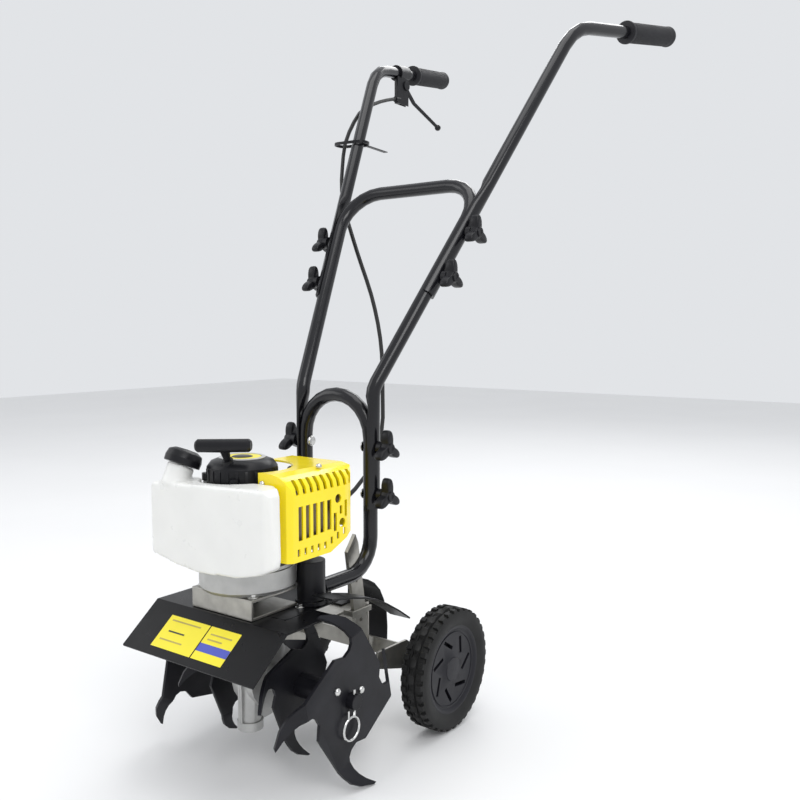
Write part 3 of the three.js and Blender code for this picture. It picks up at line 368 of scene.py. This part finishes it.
# name: profile of radius and height from the disc's face, and steps
DISC_DETAILS = {
    "rim_ring": ([(56.5, 0), (60.5, 3.4), (63.5, 3.8), (65.6, 3.4), (65.6, 0)], 96),
    "disc_ring": ([(52.5, 0), (53, 1.2), (54.2, 1.2), (54.7, 0)], 96),
    "slit_back": ([(14.5, -9.5), (54.5, -9.5), (54.5, -8.9), (14.5, -8.9)], 96),
    "hub_cap": ([(17.5, 1.2), (16.6, 2.4), (9, 3), (0.5, 3.1), (0.5, 1.2)], 48),
}


def tyre_radius(i, r, h):
    if abs(h) >= BED_HALF:
        return r
    if abs(h) >= BAND_HALF:
        return r - CUT_DEPTH
    step = (i + (CUT_PERIOD // 2 if h > 0 else 0)) % CUT_PERIOD
    return r - (CUT_DEPTH if step < CUT_WIDTH else BAND_DEPTH)


def shoulder_blocks(middle):
    """The corners of both rows of blocks, the second row half a block on."""
    for k in range(BLOCKS_ROUND):
        for row, shift in ((1, 0), (-1, 0.5)):
            a = 2 * math.pi * (k + shift) / BLOCKS_ROUND
            radial = Vector((0, math.cos(a), math.sin(a)))
            tangent = Vector((0, -math.sin(a), math.cos(a)))
            corners = []
            for r, half, near, far in (BLOCK_FOOT, BLOCK_TOP):
                for u, v in ((-half, near), (half, near), (half, far), (-half, far)):
                    corners.append(middle + (radial * r + tangent * u + Vector((row * v, 0, 0))) / 1000)
            yield corners


for side, s in SIDES:
    node = "tyre_" + side
    body = BODY_OF[node]
    middle = centre(node)
    fine = lathe(node + "_fine", CARCASS, middle, (1, 0, 0), "tyre", body, TYRE_STEPS,
                 closed=True, wave=tyre_radius, angle=40)
    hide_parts(node)
    face = middle + Vector((s * DISC_FACE, 0, 0))
    for name, (profile, steps) in DISC_DETAILS.items():
        lathe(f"{name}_{side}", profile, face, (s, 0, 0), "wheel_plastic", body, steps,
              closed=True)
    bevelled(blocks("tread_" + side, shoulder_blocks(middle), "tyre", body), 0.8)

# ---- grips: soft rubber with close rings ----
GRIP_LENGTH = 150
BEND = (202.33, 516.71, 1068)  # where the upper handle turns towards the grip
GRIP_END = (249, 815, 1120)
GRIP_FLANGE = [(11, 0), (19, 0), (19.3, 1), (19.3, 4), (18.6, 5.4), (16.4, 8)]
GRIP_TIP = [(16.3, 139), (17.8, 143), (18, 146), (16.8, 149), (14.5, 149.9), (0.4, 149.9)]
RING_COUNT, RING_START, RING_PITCH = 30, 13, 4.1

grip_profile = list(GRIP_FLANGE)
for i in range(RING_COUNT):
    h = RING_START + i * RING_PITCH
    grip_profile += [(16.3, h), (17.1, h + 0.6), (17.1, h + 2.2), (16.3, h + 2.8)]
grip_profile += GRIP_TIP
for side, s in SIDES:
    node = "grip_" + side
    end = at(s * GRIP_END[0], GRIP_END[1], GRIP_END[2])
    along = (end - at(s * BEND[0], BEND[1], BEND[2])).normalized()
    foot = end - along * GRIP_LENGTH / 1000
    fine = lathe(node + "_fine", grip_profile, foot, along, "rubber", BODY_OF[node], 40)
    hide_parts(node)

# ---- knobs: three soft lobes, a raised middle, and a bolt head inside the tube ----
KNOB_AT = {
    1: (135.39, 300.88, 726), 2: (120.09, 258.6, 659), 3: (78.3, 157, 414.5), 4: (78.3, 157, 346),
}
KNOB_HUB, KNOB_REACH = 8.6, 17.4  # radius between the lobes, and how far the lobes go beyond it
KNOB_LAYERS = (  # height, and scale of the outline there
    (7.6, 0.9), (8.2, 0.965), (9.4, 1.0), (14, 1.01), (18.4, 1.0), (20.2, 0.955), (21, 0.86), (21.1, 0.6),
)
KNOB_BOSS = [(9.5, 0.2), (9.5, 8.2), (6, 8.4), (0.5, 8.4)]
KNOB_CAP = [(7.5, 21), (7.5, 22.2), (6.6, 23), (3.4, 23), (3, 22.2), (0.4, 22.1)]
HANDLE_BOLT_INSET = 16
ARCH_BOLT_X = 51.4


def lobes(scale, n=72):
    ring = []
    for i in range(n):
        a = 2 * math.pi * i / n
        r = (KNOB_HUB + KNOB_REACH * ((1 + math.cos(3 * a)) / 2) ** 2.2) * scale
        ring.append((r * math.cos(a + math.pi / 2), r * math.sin(a + math.pi / 2)))
    return ring


for side, s in SIDES:
    for i, (x, y, z) in KNOB_AT.items():
        node = f"knob_{side}_{i}"
        body = BODY_OF[node]
        base = at(s * x, y, z)
        rings = []
        for h, scale in KNOB_LAYERS:
            rings.append([base + Vector((s * h, u, v)) / 1000 for u, v in lobes(scale)])
        fine = surface(node + "_fine", rings, "black_plastic", body, angle=50)
        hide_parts(node)
        for name, profile, steps in (("_boss", KNOB_BOSS, 32), ("_cap", KNOB_CAP, 28)):
            lathe(node + name, profile, base, (s, 0, 0), "black_plastic", body, steps)
for side, s in SIDES:
    for i, (x, y, z) in KNOB_AT.items():
        part, bolt_x = ("handle", x - HANDLE_BOLT_INSET) if i < 3 else ("arch", ARCH_BOLT_X)
        dome_bolt(f"{part}_bolt_{side}_{i}", at(s * bolt_x, y, z), (-s, 0, 0), "chassis", 8)

# ---- a blank label on the front guard: two yellow fields, a blue band and plain rules ----
LABEL_TOP, LABEL_FOOT = at(0, -94.0, 208.4), at(0, -130.6, 178.8)
INTO_GUARD = Vector((0, 0.629, -0.777)).normalized()
STAND_OFF = (-0.03, 0.037)  # y and z, in metres, from the guard to where the rays start
LABEL_STEPS = 2
LEFT_FIELD, RIGHT_FIELD = (-73, 1), (3, 57)
BAND = (0.52, 0.76)
RULE_HEIGHT = 0.045
RULES = ((-66, -12, 0.12), (-60, -30, 0.45), (-66, -24, 0.72), (10, 48, 0.2), (10, 36, 0.36))
BLACK_RULE = 1


def guard_label(name, look, across, down, lift):
    """A thin panel laid on the guard: across in mm, down as parts of the label's height."""
    guard = frame["nodes"]["front_guard"].data
    tree = BVHTree.FromPolygons([v.co for v in guard.vertices], [p.vertices for p in guard.polygons])
    height = LABEL_FOOT - LABEL_TOP
    start = LABEL_TOP + height * down[0] + Vector((across[0] / 1000, *STAND_OFF))
    width = Vector(((across[1] - across[0]) / 1000, 0, 0))
    height = height * (down[1] - down[0])
    work = bmesh.new()
    grid = []
    for j in range(LABEL_STEPS + 1):
        row = []
        for i in range(LABEL_STEPS + 1):
            spot = start + width * i / LABEL_STEPS + height * j / LABEL_STEPS
            hit, normal, _, _ = tree.ray_cast(spot, INTO_GUARD)
            row.append(work.verts.new(hit + normal * lift / 1000))
        grid.append(row)
    for a, b in zip(grid, grid[1:]):
        for i in range(LABEL_STEPS):
            work.faces.new((a[i], a[i + 1], b[i + 1], b[i]))
    bmesh.ops.recalc_face_normals(work, faces=work.faces)
    if sum((f.normal for f in work.faces), Vector()).dot(INTO_GUARD) > 0:
        bmesh.ops.reverse_faces(work, faces=work.faces)
    return piece(name, mesh_of(work, name), look, "chassis", 60)


guard_label("guard_label_left", "label_yellow", LEFT_FIELD, (0, 1), 0.4)
guard_label("guard_label_right", "label_yellow", RIGHT_FIELD, (0, 1), 0.4)
guard_label("guard_label_band", "label_blue", RIGHT_FIELD, BAND, 0.6)
for k, (left, right, down) in enumerate(RULES):
    look = "label_black" if k == BLACK_RULE else "label_grey"
    guard_label(f"guard_label_rule_{k}", look, (left, right), (down, down + RULE_HEIGHT), 0.6)

# ---- starter: a polished ring and blank label on top, ribs round the skirt ----
STARTER_X, STARTER_Y, STARTER_TOP = -3, -32, 417
STARTER = at(STARTER_X, STARTER_Y, STARTER_TOP)
# name: profile of radius and height from the top, look, and steps
STARTER_DETAILS = {
    "starter_ring": ([(30.5, -0.4), (30.5, 0.9), (29, 1.5), (25.5, 1.2), (25.5, -0.4)], "label_silver", 72),
    "starter_label": ([(25, 0.1), (25, 0.7), (24.6, 0.9), (14, 0.9), (14, 0.1)], "label_yellow", 72),
    "starter_centre": ([(13.4, 0.1), (13.2, 1.3), (11, 2), (0.5, 2), (0.5, 0.1)], "black_plastic", 48),
}
RIB_COUNT = 24
RIB_HALF = 1.5
RIB_OUTLINE = ((45.6, 389), (46.6, 389), (46.6, 403), (45.6, 404.5))  # radius and height

for name, (profile, look, steps) in STARTER_DETAILS.items():
    lathe(name, profile, STARTER, UP, look, "chassis", steps, closed=True)
ribs = []
for k in range(RIB_COUNT):
    a = 2 * math.pi * (k + 0.5) / RIB_COUNT
    radial = Vector((math.cos(a), math.sin(a), 0))
    tangent = Vector((-math.sin(a), math.cos(a), 0))
    corners = []
    for u in (-RIB_HALF, RIB_HALF):
        for r, z in RIB_OUTLINE:
            corners.append(at(STARTER_X, STARTER_Y, z) + (radial * r + tangent * u) / 1000)
    ribs.append(corners)
blocks("starter_ribs", ribs, "black_plastic", "chassis")

# ---- cover screws and channel bolts ----
CHANNEL_TOP = 246.2
dome_bolt("cover_screw_top", at(84, 20, 405.2), UP, "chassis", 4)
dome_bolt("cover_screw_front", at(60, -58.2, 392), (0, -1, 0), "chassis", 4)
for k, (x, y) in enumerate(((-46, -64), (46, -64), (-46, 20), (46, 20))):
    hex_bolt(f"channel_bolt_{k}", at(x, y, CHANNEL_TOP), UP, "chassis", 4.6, 7.4)

# ---- starter rope, from the guide into the grip ----
PULL = Vector((0.1, -0.4, 0.91)).normalized()
ROPE_FROM = at(6, -62, 406)
ROPE_R = 1.4
ROPE_HEIGHTS = [0.5 + 0.4 * k for k in range(40)]
rope = lathe("starter_rope", [(ROPE_R, h) for h in ROPE_HEIGHTS], ROPE_FROM, PULL, "rubber",
             None, 16)
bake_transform(rope)

# ---- bolts on the frame plate at the posts' feet ----
FOOT_X, FOOT_TOP = 64, 219
for side, s in SIDES:
    for k, y in enumerate((53, 3)):
        hex_bolt(f"foot_bolt_{side}_{k}", at(s * FOOT_X, y, FOOT_TOP), UP, "chassis", 4.4, 6.4)

# ---- rivets of the outer stars, beside the hitch pins ----
STAR_X = {"left": 150, "right": 126}
STAR_HALF = 2.3
for side, s in SIDES:
    for k, (y, z) in enumerate(((-27, 137), (20, 124))):
        spot = at(s * (STAR_X[side] + STAR_HALF), y, z)
        dome_bolt(f"star_rivet_{side}_{k}", spot, (s, 0, 0), BODY_OF["outer_tine_" + side], 5)

# ---- floor and light, in metres ----
FLOOR_HALF = 6
FLOOR_DROP = 0.0005
WORLD_COLOR, WORLD_STRENGTH = (0.95, 0.97, 1, 1), 0.8
LIGHT_AIM = Vector((0, 0, 0.5))

floor_mesh = bpy.data.meshes.new("floor")
floor_corners = [(x * FLOOR_HALF, y * FLOOR_HALF, 0) for x, y in ((-1, -1), (1, -1), (1, 1), (-1, 1))]
floor_mesh.from_pydata(floor_corners, [], [(0, 1, 2, 3)])
floor = bpy.data.objects.new("floor", floor_mesh)
bpy.context.scene.collection.objects.link(floor)
floor.location.z = -FLOOR_DROP
floor_mesh.materials.append(finish("floor", (0.82, 0.82, 0.82), 0.7, grain=40, spots=2, bump=0.02, vary=0.01))

world = bpy.data.worlds.new("studio")
world.use_nodes = True
background = world.node_tree.nodes["Background"]
background.inputs["Color"].default_value = WORLD_COLOR
background.inputs["Strength"].default_value = WORLD_STRENGTH
bpy.context.scene.world = world
bpy.context.scene.view_settings.view_transform = "Standard"


def softbox(name, where, size, power):
    data = bpy.data.lights.new(name, "AREA")
    data.shape = "RECTANGLE"
    data.size, data.size_y = size
    data.energy = power
    lamp = bpy.data.objects.new(name, data)
    lamp.location = where
    lamp.rotation_euler = (LIGHT_AIM - Vector(where)).to_track_quat("-Z", "Y").to_euler()
    bpy.context.scene.collection.objects.link(lamp)


softbox("key", (2.2, -1.6, 2.4), (1.6, 1.6), 34)
softbox("fill", (-2.4, -1.8, 1.8), (2.0, 1.6), 14)
softbox("rim", (-0.6, 2.4, 2.6), (2.0, 1.2), 26)
softbox("top", (0.2, -0.2, 3.2), (2.0, 2.0), 24)
